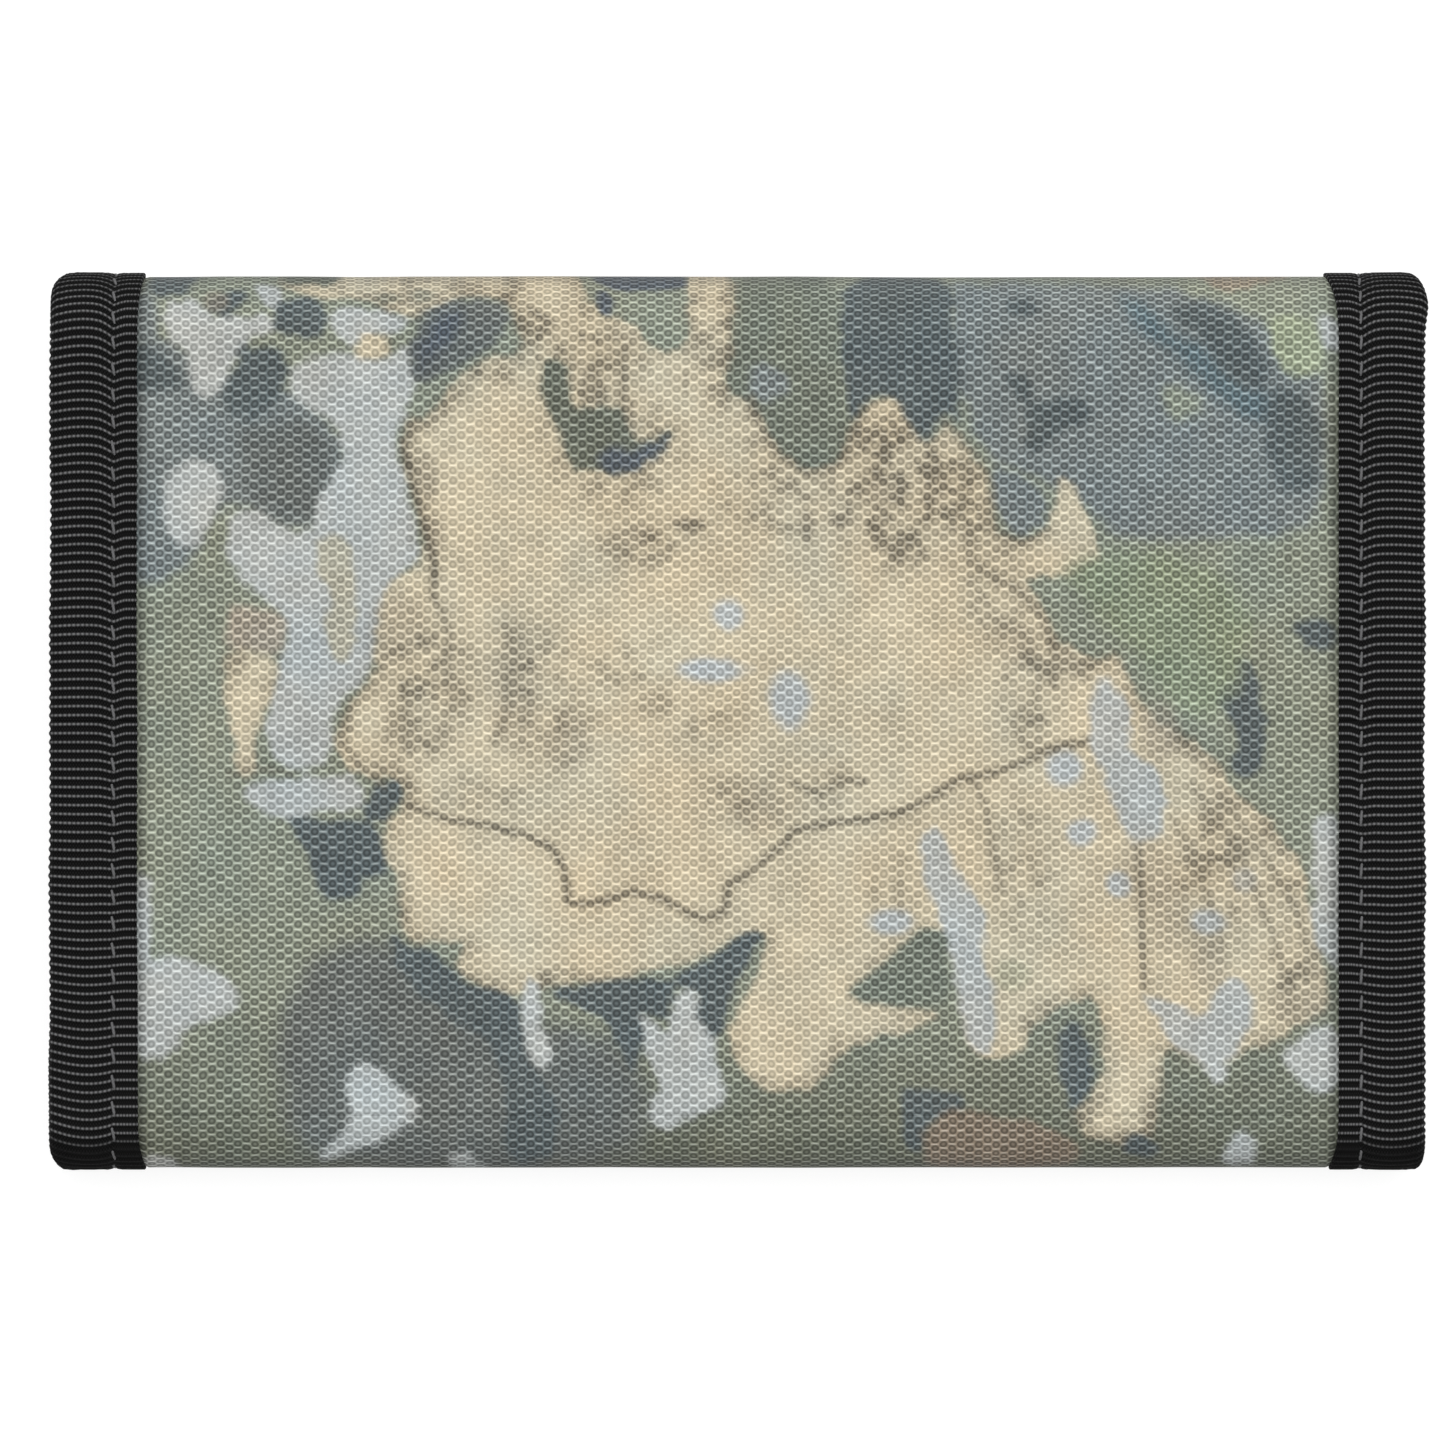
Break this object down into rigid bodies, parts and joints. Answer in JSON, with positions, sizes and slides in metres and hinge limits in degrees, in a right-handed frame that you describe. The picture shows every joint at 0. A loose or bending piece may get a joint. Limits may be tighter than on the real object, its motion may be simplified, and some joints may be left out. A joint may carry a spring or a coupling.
{
  "type": "trifold wallet",
  "caption": "Fabric trifold wallet with ribbon-bound edges, hook-and-loop flap, note pocket, card pockets, card window and zip coin pocket.",
  "frame": {"origin": "middle of the closed wallet's footprint, on the surface it lies on", "axes": "+X along the folds, +Y from the bottom fold to the top fold, +Z from the front flap up to the outer face of the back panel"},
  "size_m": [0.13, 0.085, 0.015],
  "materials": {
    "printed_fabric": "plain-woven polyester printed with soft-edged green, cream, slate and blue-grey camouflage",
    "black_ribbon": "black ribbed grosgrain ribbon, folded over the edge and stitched",
    "lining": "fine black woven nylon lining, slight sheen",
    "stiffener_board": "thin grey plastic sheet, hidden",
    "clear_vinyl": "clear soft vinyl sheet, glossy",
    "hook_tape": "black nylon hook tape with rows of small stiff hooks",
    "loop_tape": "black brushed nylon loop tape, fuzzy",
    "zip_tape": "black herringbone zip tape",
    "zip_coil": "black nylon teeth",
    "nickel_zip": "nickel-plated zinc, softly polished"
  },
  "bodies": {
    "flap": {"flap_outer_fabric": "printed_fabric", "flap_board": "stiffener_board", "flap_lining": "lining", "flap_left_ribbon": "black_ribbon", "flap_right_ribbon": "black_ribbon", "flap_end_ribbon": "black_ribbon", "flap_mouth_tape": "black_ribbon", "card_window_frame": "lining", "card_window": "clear_vinyl", "hook_strip": "hook_tape"},
    "top_fold": {"top_fold_fabric": "printed_fabric", "top_fold_lining": "lining", "top_fold_left_ribbon": "black_ribbon", "top_fold_right_ribbon": "black_ribbon"},
    "back_panel": {"back_outer_fabric": "printed_fabric", "back_board": "stiffener_board", "back_lining": "lining", "back_left_ribbon": "black_ribbon", "back_right_ribbon": "black_ribbon", "back_mouth_tape": "black_ribbon", "card_pocket_back": "lining", "card_pocket_middle": "lining", "card_pocket_front": "lining"},
    "bottom_fold": {"bottom_fold_fabric": "printed_fabric", "bottom_fold_lining": "lining", "bottom_fold_left_ribbon": "black_ribbon", "bottom_fold_right_ribbon": "black_ribbon"},
    "third_panel": {"third_outer_fabric": "printed_fabric", "zip_lip_fabric": "printed_fabric", "zip_tape_lower": "zip_tape", "zip_tape_upper": "zip_tape", "zip_teeth_lower": "zip_coil", "zip_teeth_upper": "zip_coil", "zip_stops": "nickel_zip", "third_board": "stiffener_board", "third_lining": "lining", "third_left_ribbon": "black_ribbon", "third_right_ribbon": "black_ribbon", "third_end_ribbon": "black_ribbon", "loop_strip": "loop_tape"},
    "slider": {"zip_slider": "nickel_zip", "zip_pull_ribbon": "black_ribbon"}
  },
  "joints": [
    {"name": "fold", "type": "hinge", "parent": "flap", "child": "top_fold", "pos_m": [0, 0.041, 0.0015], "axis": [-1, 0, 0], "range_deg": [0, 90]},
    {"name": "fold_top_back", "type": "hinge", "parent": "top_fold", "child": "back_panel", "pos_m": [0, 0.041, 0.0135], "axis": [-1, 0, 0], "range_deg": [0, 90]},
    {"name": "fold_bottom_back", "type": "hinge", "parent": "back_panel", "child": "bottom_fold", "pos_m": [0, -0.041, 0.0135], "axis": [-1, 0, 0], "range_deg": [0, 90]},
    {"name": "fold_bottom_third", "type": "hinge", "parent": "bottom_fold", "child": "third_panel", "pos_m": [0, -0.041, 0.007], "axis": [-1, 0, 0], "range_deg": [0, 90]},
    {"name": "zip_slide", "type": "slide", "parent": "third_panel", "child": "slider", "axis": [1, 0, 0], "range_m": [0, 0.087]}
  ],
  "couplings": [
    {"joint": "fold_top_back", "follows": "fold", "ratio": 1},
    {"joint": "fold_bottom_back", "follows": "fold", "ratio": 1},
    {"joint": "fold_bottom_third", "follows": "fold", "ratio": 1}
  ]
}
